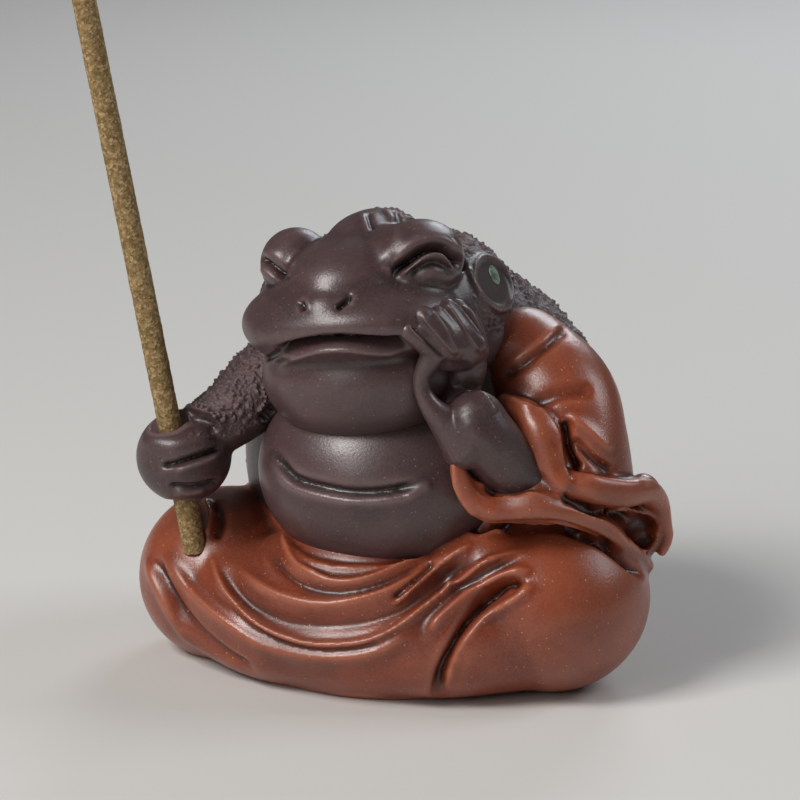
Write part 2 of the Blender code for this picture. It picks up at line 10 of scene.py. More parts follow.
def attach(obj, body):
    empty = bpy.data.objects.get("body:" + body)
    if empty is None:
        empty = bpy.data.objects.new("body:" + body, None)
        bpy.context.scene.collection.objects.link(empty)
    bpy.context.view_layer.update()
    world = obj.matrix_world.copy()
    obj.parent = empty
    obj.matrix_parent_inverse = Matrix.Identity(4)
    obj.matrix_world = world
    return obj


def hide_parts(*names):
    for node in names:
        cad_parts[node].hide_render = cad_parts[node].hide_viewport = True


# Tea pet: a robed toad with its cheek on one hand and an incense stick in the other fist.
# The clay is modelled in millimetres, and each finished piece is scaled to the frame's metres.
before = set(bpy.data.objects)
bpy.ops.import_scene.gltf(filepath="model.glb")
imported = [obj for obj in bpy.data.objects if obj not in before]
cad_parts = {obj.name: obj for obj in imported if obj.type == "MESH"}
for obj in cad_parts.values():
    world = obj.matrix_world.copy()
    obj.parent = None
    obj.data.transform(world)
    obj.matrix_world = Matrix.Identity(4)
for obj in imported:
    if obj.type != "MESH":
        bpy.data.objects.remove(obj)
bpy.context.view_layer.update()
print("CAD frame loaded:", ", ".join(sorted(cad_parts)))

metres = 0.001

# the swirl of the warts follows this seed, which is the time of day unless it is set
wartSeed = 3
noise.seed_set(wartSeed)

# The photograph's view. Places on the figure are drawn in its 800 x 800 picture, 10.8 units to a millimetre.
photoView = {"azimuth": 15.0, "elevation": 15.0, "target": (0.0, 0.0, 24.6), "distance": 350.0,
             "unitsPerMm": 10.8, "pictureSize": 800.0}
backView = {**photoView, "azimuth": 180.0, "elevation": 10.0}


def axesOf(view):
    a, e = math.radians(view["azimuth"]), math.radians(view["elevation"])
    back = Vector((math.sin(a) * math.cos(e), -math.cos(a) * math.cos(e), math.sin(e)))
    right = Vector((math.cos(a), math.sin(a), 0.0))
    return back, right, back.cross(right)


def eyeOf(view):
    return Vector(view["target"]) + axesOf(view)[0] * view["distance"]


def drawnAt(view, points):
    back, right, up = (np.array(axis) for axis in axesOf(view))
    near = points - np.array(view["target"])
    size = view["distance"] / (view["distance"] - near @ back) * view["unitsPerMm"]
    middle = view["pictureSize"] / 2
    return np.stack([middle + near @ right * size, middle - near @ up * size], axis=1)


def lookAt(view, place):
    back, right, up = axesOf(view)
    middle = view["pictureSize"] / 2
    u, v = (place[0] - middle) / view["unitsPerMm"], (middle - place[1]) / view["unitsPerMm"]
    return (Vector(view["target"]) + right * u + up * v - eyeOf(view)).normalized()


def drawn(points):
    # places in space from the drawing: across and down in the picture, and the depth y in mm
    eye, found = eyeOf(photoView), []
    for across, down, y in points:
        look = lookAt(photoView, (across, down))
        found.append(tuple(eye + look * ((y - eye.y) / look.y)))
    return found


def deselectAll():
    bpy.ops.object.select_all(action="DESELECT")


def activate(piece):
    deselectAll()
    piece.select_set(True)
    bpy.context.view_layer.objects.active = piece


def turned(angles):
    return Euler([math.radians(angle) for angle in angles]).to_matrix().to_4x4()


def ball(name, at, radii):
    bpy.ops.mesh.primitive_uv_sphere_add(segments=64, ring_count=32, radius=1.0)
    made = bpy.context.object
    made.name = name
    made.data.transform(Matrix.Translation(at) @ Matrix.Diagonal((*radii, 1.0)))
    return made


def smoothPath(points, perSpan):
    # Catmull-Rom curve through the points
    points = np.array(points, float)
    padded = np.vstack([2 * points[0] - points[1], points, 2 * points[-1] - points[-2]])
    path = []
    for a, b, c, d in zip(padded, padded[1:], padded[2:], padded[3:]):
        for t in np.arange(perSpan) / perSpan:
            bend = (2 * a - 5 * b + 4 * c - d) * t**2 + (3 * b - a - 3 * c + d) * t**3
            path.append(b + 0.5 * ((c - a) * t + bend))
    path.append(points[-1])
    return np.array(path)


def roll(name, points, radii, closed=False):
    # a roll of clay, with its own radius at each point and round ends
    given = [(*point, radius) for point, radius in zip(points, radii)]
    if closed:
        path = smoothPath([*given, given[0]], 5)[:-1]
    else:
        path = smoothPath(given, 10)
        ahead, behind = (path[1] - path[0])[:3], (path[-1] - path[-2])[:3]
        ahead, behind = ahead / np.linalg.norm(ahead), behind / np.linalg.norm(behind)
        start, end = path[0], path[-1]
        caps = [math.sin(math.radians(angle)) for angle in (86, 72, 56, 38, 18)]
        first = [(*(start[:3] - ahead * start[3] * c), start[3] * math.sqrt(1 - c * c)) for c in caps]
        last = [(*(end[:3] + behind * end[3] * c), end[3] * math.sqrt(1 - c * c)) for c in reversed(caps)]
        path = np.vstack([first, path, last])
    curve = bpy.data.curves.new(name, "CURVE")
    curve.dimensions = "3D"
    curve.bevel_depth = 1.0
    curve.bevel_resolution = 8
    curve.use_fill_caps = not closed
    spline = curve.splines.new("POLY")
    spline.use_cyclic_u = closed
    spline.points.add(len(path) - 1)
    for point, (x, y, z, radius) in zip(spline.points, path):
        point.co = (x, y, z, 1.0)
        point.radius = radius
    made = bpy.data.objects.new(name, curve)
    bpy.context.scene.collection.objects.link(made)
    activate(made)
    bpy.ops.object.convert(target="MESH")
    bpy.ops.object.mode_set(mode="EDIT")
    bpy.ops.mesh.select_all(action="SELECT")
    bpy.ops.mesh.remove_doubles(threshold=0.0005)  # welds the caps on
    bpy.ops.mesh.normals_make_consistent(inside=False)
    bpy.ops.object.mode_set(mode="OBJECT")
    return made


def applied(piece, kind, **settings):
    # adds a modifier and applies it
    activate(piece)
    modifier = piece.modifiers.new(kind.lower(), kind)
    for name, value in settings.items():
        setattr(modifier, name, value)
    bpy.ops.object.modifier_apply(modifier=modifier.name)


def pressedTogether(name, pieces, voxel, rounds):
    # joins the rolls and balls into one skin of clay, and rubs it smooth
    activate(pieces[0])
    for piece in pieces:
        piece.select_set(True)
    bpy.ops.object.join()
    made = bpy.context.object
    made.name = name
    applied(made, "REMESH", mode="VOXEL", voxel_size=voxel)
    if rounds:
        applied(made, "SMOOTH", factor=0.5, iterations=rounds)
    return made


def carved(piece, cutter):
    # cuts the cutter's shape out of the piece, and takes the cutter away
    applied(piece, "BOOLEAN", operation="DIFFERENCE", object=cutter)
    bpy.data.objects.remove(cutter)


def pointsOf(mesh):
    points = np.empty(len(mesh.vertices) * 3, np.float32)
    mesh.vertices.foreach_get("co", points)
    return points.reshape(-1, 3).astype(float)


def normalsOf(mesh):
    normals = np.empty(len(mesh.vertices) * 3, np.float32)
    mesh.vertex_normals.foreach_get("vector", normals)
    return normals.reshape(-1, 3).astype(float)


def movePoints(mesh, points):
    mesh.vertices.foreach_set("co", points.astype(np.float32).ravel())
    mesh.update()


def alongPath(places, path):
    # distance to the path, side of it, and share of its length, for each place, and the length itself
    best, side, share = np.full(len(places), np.inf), np.zeros(len(places)), np.zeros(len(places))
    lengths = np.linalg.norm(np.diff(path, axis=0), axis=1)
    starts = np.concatenate([[0], np.cumsum(lengths)])
    for index, (a, b) in enumerate(zip(path, path[1:])):
        span = b - a
        t = np.clip(((places - a) @ span) / (span @ span), 0, 1)
        off = places - a - t[:, None] * span
        distance = np.hypot(off[:, 0], off[:, 1])
        closer = distance < best
        best[closer] = distance[closer]
        side[closer] = np.sign(span[0] * off[:, 1] - span[1] * off[:, 0])[closer]
        share[closer] = ((starts[index] + t * lengths[index]) / starts[-1])[closer]
    return best, side, share, starts[-1]


def tooled(piece, strokes, view):
    # Draws modelling strokes on the clay that the view sees. A stroke is a path, its lift in mm, its width in
    # mm on the left and on the right of its way, and how crisp its edge is: 2 is round, 1 is a sharp fold.
    mesh = piece.data
    points, normals = pointsOf(mesh), normalsOf(mesh)
    places = drawnAt(view, points)
    toEye = np.array(eyeOf(view)) - points
    toEye /= np.linalg.norm(toEye, axis=1)[:, None]
    facing = np.clip(((normals * toEye).sum(1) - 0.1) / 0.3, 0, 1)
    moved = np.zeros(len(points))
    for path, lift, left, right, *crisp in strokes.values():
        line = smoothPath(path, 6)
        power = crisp[0] if crisp else 2.0
        widest = max(left, right) * view["unitsPerMm"]
        reach = 4.0 * widest
        inside = (places > line.min(0) - reach).all(1) & (places < line.max(0) + reach).all(1)
        near = np.flatnonzero((facing > 0) & inside)
        distance, side, share, length = alongPath(places[near], line)
        width = np.where(side > 0, right, left) * view["unitsPerMm"]
        taper = min(max(1.6 * widest / length, 0.14), 0.5)
        ends = np.sin(np.clip(np.minimum(share, 1 - share) / taper, 0, 1) * math.pi / 2) ** 1.4
        moved[near] += lift * np.exp(-((distance / width) ** power)) * ends * facing[near]
    movePoints(mesh, points + normals * moved[:, None])


def treeOf(piece):
    bm = bmesh.new()
    bm.from_mesh(piece.data)
    tree = BVHTree.FromBMesh(bm)
    bm.free()
    return tree


def laidOn(base, path, lift):
    # points on the skin where a path of the drawing falls, raised towards the eye
    tree, eye, found = treeOf(base), eyeOf(photoView), []
    for place in path:
        look = lookAt(photoView, place)
        hit = tree.ray_cast(eye, look)[0]
        if hit is not None:
            found.append(hit - look * lift)
    return found


def cutOff(piece, at, normal):
    # cuts away the side that the normal points to, and closes the cut
    activate(piece)
    bpy.ops.object.mode_set(mode="EDIT")
    bpy.ops.mesh.select_all(action="SELECT")
    bpy.ops.mesh.bisect(plane_co=at, plane_no=normal, use_fill=True, clear_outer=True)
    bpy.ops.object.mode_set(mode="OBJECT")


def warty(piece, share, bump):
    # raises round warts where share is over 0, each bump["spacing"] mm from the next
    mesh = piece.data
    points, normals = pointsOf(mesh), normalsOf(mesh)
    height = np.zeros(len(points))
    for index in np.flatnonzero(share > 0.02):
        place = Vector(points[index])
        swirl = noise.noise_vector(place * 0.8) * bump["wander"]
        distances = noise.voronoi((place + swirl) / bump["spacing"])[0]
        cell = min(distances[0] / 0.5, 1.0)
        coarse = noise.noise(place / (bump["spacing"] * 2.3))
        height[index] = (1 - cell * cell) * (0.7 + 0.8 * coarse) - 0.35
    movePoints(mesh, points + normals * (height * share * bump["height"])[:, None])


def keep(piece, name, values):
    attribute = piece.data.attributes.new(name, "FLOAT", "POINT")
    attribute.data.foreach_set("value", values.astype(np.float32))


mostTriangles = 190000


def thinned(piece):
    # merges the flattest faces until the piece holds no more than mostTriangles
    applied(piece, "TRIANGULATE")
    applied(piece, "DECIMATE", ratio=min(1.0, mostTriangles / len(piece.data.polygons)))


def markRelief(piece, rounds, depth):
    # how far each point stands above the smoothed skin round it: 1 on an edge, 0 in a crease, 0.5 on the flat
    mesh = piece.data
    points = pointsOf(mesh)
    edges = np.empty(len(mesh.edges) * 2, np.int32)
    mesh.edges.foreach_get("vertices", edges)
    a, b = edges.reshape(-1, 2).T
    count = np.bincount(edges, minlength=len(points))[:, None]
    smooth = points.copy()
    for _ in range(rounds):
        total = [np.bincount(a, smooth[b, axis], len(points)) + np.bincount(b, smooth[a, axis], len(points))
                 for axis in range(3)]
        total = np.stack(total, axis=1)
        smooth = (smooth + total / count) / 2
    relief = ((points - smooth) * normalsOf(mesh)).sum(1) / depth
    keep(piece, "relief", np.clip(0.5 + relief / 2, 0, 1))


# The stick's line, from the CAD stick's two ends
stickPoints = pointsOf(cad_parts["incense_stick"].data) / metres
stickTop = stickPoints[stickPoints[:, 2] > stickPoints[:, 2].max() - 0.5].mean(0)
stickFoot = stickPoints[stickPoints[:, 2] < stickPoints[:, 2].min() + 0.5].mean(0)
stickLean = Vector(stickTop - stickFoot).normalized()
stickDiameter = 2.2


def stickAt(height):
    return Vector(stickFoot) + stickLean * ((height - stickFoot[2]) / stickLean.z)


# Head
head = {
    "at": (-1.0, -2.6, 34.3), "turn": (0.0, -7.0, -10.0), "voxel": 0.15,
    "masses": {
        "cranium": ((-0.3, 1.3, -0.1), (11.8, 12.0, 7.2)),
        "muzzle": ((0.2, -7.0, 0.3), (10.3, 8.0, 4.5)),
        "forehead": ((0.4, -5.4, 3.4), (6.2, 7.6, 4.4)),
        "nose": ((0.3, -11.6, 1.7), (3.4, 3.0, 2.6)),
        "crown": ((0.4, -1.5, 6.4), (3.6, 6.5, 2.6)),
        "rightEye": ((-5.9, -4.6, 4.9), (3.2, 3.6, 3.3)),
        "leftEye": ((6.6, -4.8, 5.1), (4.1, 4.2, 3.5)),
        "leftBrow": ((4.3, -4.7, 4.9), (4.6, 4.5, 3.3)),
        "throat": ((0, -4.6, -5.0), (9.6, 9.0, 6.6)),
        "jowl": ((0, 2.0, -4.0), (11.2, 9.0, 6.0)),
    },
    "earRim": 0.24, "earRimLift": 0.06, "earSunk": 0.04,
    # the warts begin further forward low down on the cheek than on the crown
    "warts": {"spacing": 0.62, "height": 0.36, "wander": 0.5,
              "fromCheek": -3.6, "fromCrown": -0.2, "ramp": 1.6},
}
headStrokes = {
    "mouth": ([(274, 354.5), (285, 350), (300, 346), (318, 342.5), (335, 341),
               (352, 341.5), (368, 343), (385, 344), (400, 343.5), (413, 345)], -2.6, 0.5, 0.5, 3.0),
    "upperLip": ([(246, 345), (262, 340), (283, 333), (311, 327), (350, 324), (388, 325), (405, 328)],
                 0.25, 1.3, 0.8),
    "lowerLip": ([(277, 374), (280, 369), (286, 363), (297, 357), (316, 351), (335, 349), (352, 349.5),
                  (368, 351.5), (385, 352.5), (404, 351)], 0.3, 0.14, 0.35, 1.5),
    "rightNostril": ([(299.5, 299), (301.5, 305), (304, 312)], -0.8, 0.26, 0.26, 1.9),
    "leftNostril": ([(336, 310), (343, 303), (352, 296)], -0.8, 0.24, 0.24, 1.9),
    "rightNostrilRim": ([(306, 298), (309, 306), (310, 314)], 0.15, 0.3, 0.3),
    "leftNostrilRim": ([(348, 304), (354, 299), (360, 292)], 0.15, 0.3, 0.3),
    "rightLidSlit": ([(256, 257), (262, 259), (270, 265), (279, 272), (290, 279)], -1.1, 0.22, 0.24, 1.8),
    "rightLowerLid": ([(258, 266), (266, 272), (276, 279), (284, 286)], 0.35, 0.35, 0.4),
    "rightUnderEye": ([(258, 280), (268, 286), (280, 294)], -0.25, 0.5, 0.6),
    "rightBrow": ([(262, 250), (276, 256), (288, 267)], 0.2, 0.8, 0.3),
    "leftLidSlit": ([(390, 272), (396, 270), (405, 263), (416, 254), (426, 248.5), (436, 246.5), (445, 248.5),
                     (453, 256), (461, 265), (466, 272)], -2.2, 0.42, 0.42, 2.6),
    "leftBrow": ([(394, 262), (404, 250), (416, 240), (429, 236), (442, 237), (453, 245)], 0.15, 0.6, 0.3),
    "leftLowerLid": ([(396, 274), (407, 270), (417, 262.5), (425, 256), (434, 253), (442, 255), (451, 262.5),
                      (459, 267), (467, 270)], 0.4, 0.16, 0.2, 1.6),
    "leftUnderEye": ([(408, 276), (420, 268), (434, 263), (447, 267), (459, 275)], -0.6, 0.35, 0.6),
    "leftEyeCorner": ([(383, 264), (388, 272), (394, 279)], 0.25, 0.5, 0.5),
    "browRidge": ([(377, 274), (384, 260), (393, 244), (404, 228)], 0.2, 0.7, 0.8),
    "crownRidge": ([(361, 210), (364, 220), (369, 236)], 0.25, 0.4, 0.26, 1.6),
    "crownGroove": ([(367.5, 213), (370, 221), (373, 231)], -0.45, 0.22, 0.24, 1.8),
    "crownRidgeLeft": ([(382, 209), (389, 214), (393, 225)], 0.35, 0.4, 0.3, 1.6),
    "crownGrooveLeft": ([(395, 211), (399, 218), (401, 225)], -0.35, 0.22, 0.22),
    "crownRidgeLast": ([(400, 211), (407, 216), (410, 222)], 0.3, 0.3, 0.3),
    "templeFold": ([(450, 238), (458, 250), (466, 264), (473, 281), (484, 300)], 0.35, 0.22, 0.28, 1.6),
}
# the corner of the mouth is bored, since it turns round the side of the jaw
mouthCorner = {"path": [(258, 364), (267, 358.5), (277, 354), (290, 349.5), (306, 345.5)],
               "radii": [0.3, 0.42, 0.5, 0.5, 0.35], "sunk": 0.3}
earRing = [(474, 281), (475, 266), (483, 256), (497, 261), (508, 275),
           (512, 291), (509, 306), (498, 310), (485, 299)]
earInlay = {"long": [(490, 266), (499, 284)], "wide": [(490.5, 276.5), (498.5, 273.5)]}


def headFrame():
    return Matrix.Translation(head["at"]) @ turned(head["turn"])


def mirrored(tree, point):
    # the same place on the other side of the head
    local = headFrame().inverted() @ point
    return tree.find_nearest(headFrame() @ Vector((-local.x, local.y, local.z)))[0]


def ovalOf(points):
    # middle, long, short and thin axis of a ring of points, with their half lengths
    cloud = np.array(points)
    middle = cloud.mean(0)
    axes = np.linalg.svd(cloud - middle)[2]
    axes[2] = np.cross(axes[0], axes[1])
    if axes[2] @ (middle - np.array(head["at"])) < 0:
        axes[1:] *= -1
    return middle, axes, np.abs((cloud - middle) @ axes.T).max(0)


def makeEars(skull):
    tree = treeOf(skull)
    shown = laidOn(skull, earRing, 0.0)
    made, ovals = [], []
    for name, ring in (("left", shown), ("right", [mirrored(tree, point) for point in shown])):
        middle, axes, halves = ovalOf(ring)
        lifted = [point + Vector(axes[2]) * head["earRimLift"] for point in ring]
        made.append(roll(f"{name}EarRim", lifted, [head["earRim"]] * len(ring), closed=True))
        ovals.append((middle, axes, halves))
    return made, ovals


def pressEars(skull, ovals):
    # presses the skin inside each ring of the ear down to a flat disc
    points = pointsOf(skull.data)
    for middle, axes, halves in ovals:
        local = (points - middle) @ axes.T
        out = np.hypot(local[:, 0] / halves[0], local[:, 1] / halves[1])
        share = np.clip((0.9 - out) / 0.16, 0, 1) * (np.abs(local[:, 2]) < 2.5)
        points -= np.outer(share * (local[:, 2] + head["earSunk"]), axes[2])
    movePoints(skull.data, points)


def makeHead():
    masses = []
    for name, (at, radii) in head["masses"].items():
        mass = ball(name, at, radii)
        mass.data.transform(headFrame())
        masses.append(mass)
    skull = pressedTogether("toadHead", masses, 0.3, 14)
    ears, ovals = makeEars(skull)
    skull = pressedTogether("toadHead", [skull, *ears], head["voxel"], 3)
    pressEars(skull, ovals)
    bore = laidOn(skull, mouthCorner["path"], -mouthCorner["sunk"])
    cutter = roll("mouthCorner", bore, mouthCorner["radii"])
    tooled(skull, headStrokes, photoView)
    carved(skull, cutter)
    skull = pressedTogether("toadHead", [skull], head["voxel"], 1)
    warts = head["warts"]
    local = pointsOf(skull.data) @ np.array(headFrame().inverted().to_3x3()).T
    local += np.array(headFrame().inverted().translation)
    height = np.clip((local[:, 2] - 1.0) / 4.0, 0, 1)
    begin = warts["fromCheek"] + (warts["fromCrown"] - warts["fromCheek"]) * height
    share = np.clip((local[:, 1] - begin) / warts["ramp"], 0, 1)
    for middle, axes, halves in ovals:
        away = ((pointsOf(skull.data) - middle) @ axes.T)[:, :2] / halves[:2]
        share *= np.clip((np.linalg.norm(away, axis=1) - 1.15) / 0.15, 0, 1)
    warty(skull, share, warts)
    keep(skull, "warts", share)
    thinned(skull)
    return skull


# Torso
torso = {
    "back": ((1.7, 5.0, 18.5), (17.8, 14.0, 19.0)),
    "belly": ((0.0, -4.8, 19.4), (11.9, 10.6, 9.6)),
    "voxel": 0.2, "cutAt": 4.0,
    "warts": {"spacing": 0.66, "height": 0.4, "wander": 0.6},
}
torsoStrokes = {
    "bellyCrease": ([(272, 448), (277, 459), (286, 471), (297, 480), (320, 487), (355, 493), (390, 491),
                     (422, 484)], -0.75, 0.45, 0.4, 1.9),
    "bellyRoll": ([(274, 462), (284, 478), (300, 489), (325, 496), (355, 500.5), (390, 499), (424, 492)],
                  0.32, 0.4, 0.8, 1.8),
    "bellyRollEnd": ([(404, 495), (420, 490), (432, 482)], 0.25, 0.5, 0.5),
}


def makeTorso():
    masses = [ball(name, *torso[name]) for name in ("back", "belly")]
    body = pressedTogether("toadBody", masses, 0.32, 10)
    tooled(body, torsoStrokes, photoView)
    body = pressedTogether("toadBody", [body], torso["voxel"], 2)
    cutOff(body, (0, 0, torso["cutAt"]), (0, 0, -1))
    share = np.clip((pointsOf(body.data)[:, 1] - 1.0) / 3.0, 0, 1)
    warty(body, share, torso["warts"])
    keep(body, "warts", share)
    thinned(body)
    return body


# The bare right arm, and its fist round the stick
rightArm = {
    "path": [(-6.5, 1.0, 27.6), (-9.5, -1.0, 27.0), (-12.2, -3.5, 25.9), (-14.4, -6.4, 24.0)],
    "radii": [5.4, 4.9, 3.9, 3.2, 2.8],
    "wristFromFist": (1.1, 1.0, 1.7),
    "fistHeight": 20.9, "fistOffset": (0.45, 1.1, -0.55), "fistRadii": (4.4, 4.4, 4.3), "holeDiameter": 3.7,
    # the warts begin right of fromAcross in the drawing, on the arm alone, and not on its underside
    "voxel": 0.13, "warts": {"spacing": 0.55, "height": 0.42, "wander": 0.5,
                             "fromAcross": 192, "ramp": 14, "downTo": 440, "underside": -0.45},
}
rightArmStrokes = {
    "firstGap": ([(160, 467), (175, 464), (191, 459), (206, 454), (223, 447)], -0.85, 0.3, 0.2, 1.8),
    "firstFinger": ([(138, 441), (156, 443), (176, 445), (196, 441), (214, 433)], 0.35, 0.9, 0.9),
    "secondFinger": ([(172, 470), (184, 467), (200, 462), (221, 454)], 0.4, 0.16, 0.6, 1.5),
    "secondGap": ([(168, 486), (182, 487), (197, 486.5), (220, 481)], -0.6, 0.26, 0.2, 1.8),
    "thirdFinger": ([(174, 490.5), (190, 492), (207, 488)], 0.3, 0.16, 0.45, 1.5),
    "thumb": ([(176, 406), (192, 408), (209, 413.5), (217, 420), (223, 432)], 0.55, 0.35, 0.24, 1.5),
    "underThumb": ([(184, 417), (198, 418), (210, 423), (217, 433)], -0.55, 0.35, 0.45),
    "palmFold": ([(146, 458), (154, 465), (164, 469)], -0.2, 0.7, 0.7),
    "sleeveNotch": ([(286, 402), (272, 411), (262, 424)], -0.7, 0.3, 0.5, 1.8),
}


def makeRightArm():
    fistAt = stickAt(rightArm["fistHeight"]) + Vector(rightArm["fistOffset"])
    wrist = fistAt + Vector(rightArm["wristFromFist"])
    masses = [roll("forearm", [*rightArm["path"], tuple(wrist)], rightArm["radii"]),
              ball("fist", fistAt, rightArm["fistRadii"])]
    arm = pressedTogether("toadRightArm", masses, 0.2, 10)
    tooled(arm, rightArmStrokes, photoView)
    arm = pressedTogether("toadRightArm", [arm], rightArm["voxel"], 1)
    drillFist(arm)
    points, normals = pointsOf(arm.data), normalsOf(arm.data)
    places, warts = drawnAt(photoView, points), rightArm["warts"]
    share = np.clip((places[:, 0] - warts["fromAcross"] + (normals[:, 2] - 0.3) * 16) / warts["ramp"], 0, 1)
    share *= places[:, 1] < warts["downTo"]
    share *= np.clip((normals[:, 2] - warts["underside"]) / 0.3, 0, 1)
    fromFist = np.linalg.norm(points - np.array(fistAt), axis=1) - rightArm["fistRadii"][0]
    share *= np.clip(fromFist / 0.5, 0, 1)
    warty(arm, share, warts)
    keep(arm, "warts", share)
    return arm


def drillFist(arm):
    bpy.ops.mesh.primitive_cylinder_add(vertices=64, radius=rightArm["holeDiameter"] / 2, depth=13.0)
    drill = bpy.context.object
    lean = stickLean.to_track_quat("Z", "Y").to_matrix().to_4x4()
    drill.data.transform(Matrix.Translation(stickAt(rightArm["fistHeight"])) @ lean)
    carved(arm, drill)


# Left arm: a bare forearm out of the sleeve, and the hand that props the cheek, its wrist bent back
leftArm = {
    "forearm": ([(532, 480, -8.4), (506, 461, -10.4), (485, 437, -12.0), (476, 421, -12.4)],
                [2.9, 2.95, 2.9, 2.75]),
    "heel": ([(466, 440, -12.8), (448, 424, -13.5), (432, 408, -14.0), (423, 392, -14.1), (422, 377, -14.1),
              (429, 362, -14.1), (436, 352, -13.9)], [2.7, 1.7, 1.05, 0.8, 0.8, 1.0, 1.2]),
    "wristCore": ([(455, 410, -10.8), (460, 388, -9.4), (465, 366, -9.6)], [2.0, 1.9, 2.0]),
    "knuckles": ([(434, 351, -13.6), (448, 353, -12.5), (462, 353, -11.0), (474, 350, -9.4)],
                 [1.3, 1.6, 1.6, 1.4]),
    "fingers": [
        ([(432, 348, -14.1), (420, 339, -14.9), (408, 331, -15.3)], [1.15, 1.0, 0.85]),
        ([(451, 349, -12.9), (438, 334, -13.8), (423, 317, -14.1)], [1.3, 1.3, 1.05]),
        ([(457, 348, -12.2), (447, 334, -12.8), (435, 316, -13.0)], [1.25, 1.25, 1.0]),
        ([(464, 347, -11.4), (453, 331, -11.9), (441, 312, -12.1)], [1.25, 1.2, 0.95]),
        ([(472, 346, -10.4), (460, 330, -11.2), (445, 309, -11.5)], [1.2, 1.2, 1.05]),
        ([(476, 344, -9.3), (470, 327, -9.6), (456, 309, -10.0)], [1.1, 1.1, 1.0]),
    ],
    "voxel": 0.11,
}
handStrokes = {
    "gap": ([(411, 322), (422, 335), (434, 347), (446, 358)], -0.3, 0.25, 0.25, 1.7),
    "ridge1": ([(421, 314), (429, 325), (442, 340), (456, 356)], 0.25, 0.3, 0.15, 1.3),
    "ridge2": ([(433, 313), (442, 324), (450, 337), (459, 355)], 0.25, 0.15, 0.3, 1.3),
    "ridge3": ([(444, 304), (451, 312), (464, 331), (473, 344), (481, 354)], 0.35, 0.15, 0.18, 1.2),
    "ridge4": ([(459, 305), (470, 312), (477, 325), (482, 340), (484, 354)], 0.3, 0.15, 0.2, 1.3),
    "palmFold": ([(440, 361), (455, 366), (472, 364)], -0.3, 0.4, 0.6),
    "armEdge": ([(477, 387), (487, 399), (496, 413)], 0.25, 0.25, 0.35, 1.5),
    "armTop": ([(450, 416), (466, 424), (486, 446), (506, 470)], 0.2, 1.0, 1.2),
}


def makeLeftArm():
    masses = [roll(name, drawn(leftArm[name][0]), leftArm[name][1])
              for name in ("forearm", "heel", "wristCore", "knuckles")]
    masses += [roll("finger", drawn(path), radii) for path, radii in leftArm["fingers"]]
    arm = pressedTogether("toadLeftArm", masses, leftArm["voxel"], 18)
    tooled(arm, handStrokes, photoView)
    arm = pressedTogether("toadLeftArm", [arm], leftArm["voxel"], 1)
    keep(arm, "warts", np.zeros(len(arm.data.vertices)))
    return arm


# Robe
robe = {
    "voxel": 0.2, "clothThickness": 0.6,
    "necklineAt": (0.0, 19.5, 19.0), "necklineSlope": (-0.36, 0.061, 0.931),
    "lapelAt": (9.2, -14.0, 23.6), "lapelSlope": (-0.45, -0.9, -0.22),
    "legs": {
        "rightKnee": ((-16.3, -2.0, 7.1), (8.3, 9.0, 8.2)),
        "leftKnee": ((15.6, -4.5, 8.2), (9.0, 10.0, 8.6)),
        "apron": ((-0.5, -7.0, 6.4), (15.0, 10.2, 8.4)),
        "base": ((-0.5, -1.0, 3.4), (21.5, 14.6, 5.4)),
        "seat": ((0.0, 5.0, 8.0), (20.0, 14.6, 10.5)),
        "lapFront": ((10.0, -8.0, 12.4), (6.8, 4.8, 3.8)),
    },
    "shins": {
        "rightShin": ([(-15.0, -5.0, 6.4), (-9.0, -9.5, 5.6), (-3.0, -11.5, 5.2)], [6.6, 6.0, 5.0]),
        "leftShin": ([(12.0, -8.0, 6.6), (7.0, -11.0, 5.6), (2.0, -12.0, 5.0)], [6.6, 5.6, 4.8]),
    },
    "robedArm": ([(11.0, 1.0, 28.2), (15.0, -1.6, 26.0), (17.0, -3.6, 22.8), (18.2, -4.0, 19.4)],
                 [5.8, 5.8, 5.3, 4.8]),
    "sleeveBack": ([(16.0, 1.0, 20.0), (18.6, 1.6, 16.8), (21.4, 1.2, 14.2)], [3.8, 3.2, 2.4]),
    "sleeveCorner": ((22.9, 0.4, 15.0), (2.2, 3.4, 4.2)),
    "lap": ((14.5, -6.8, 19.2), (6.4, 5.4, 3.3)),
    "underSash": ((13.5, -4.8, 16.4), (6.8, 4.6, 2.2)),
    # the folds that the photograph shows, drawn in it: across, down and depth, then each one's radius
    "folds": {
        "sleeveBand": ([(504, 399, -6.6), (526, 414, -8.4), (539, 431, -9.3), (546, 450, -9.8),
                        (552, 469, -10.2), (561, 485, -10.6)], [0.6, 1.3, 1.65, 1.4, 1.15, 0.9]),
        "hemRoll": ([(568, 479, -9.6), (584, 486, -9.5), (602, 491, -8.4), (626, 493, -6.2), (645, 491, -3.6),
                     (657, 501, -1.6), (664, 520, -0.8), (667, 538, -0.4), (662, 552, -0.6)],
                    [0.9, 1.2, 1.3, 1.3, 1.25, 1.1, 0.75, 0.6, 0.5]),
        "sash": ([(455, 453, -13.7), (459, 474, -13.8), (470, 496, -13.4), (487, 508, -12.9),
                  (505, 509.5, -12.5), (541, 508.5, -12.0), (575, 517, -10.0), (603, 529, -7.6),
                  (625, 545, -5.0), (647, 566, -0.6)],
                 [0.45, 0.8, 1.1, 1.25, 1.25, 1.2, 1.05, 0.9, 0.85, 0.7]),
        "gapBack": ([(556, 500, -9.8), (590, 512, -6.8), (620, 521, -4.4), (640, 536, -2.6)],
                    [1.6, 1.7, 1.7, 1.5]),
    },
    # the dark opening of the hanging sleeve
    "cuffHollow": ([[(604, 512, -7.4), (624, 520, -6.4), (640, 528, -5.4), (648, 539, -4.8)],
                    [(606, 512, -6.0), (626, 520, -5.0), (641, 529, -3.8), (648, 540, -3.2)],
                    [(610, 513, -4.8), (628, 521, -3.4), (641, 530, -2.2), (645, 539, -1.8)]],
                   [0.35, 0.95, 1.55, 1.15]),
}
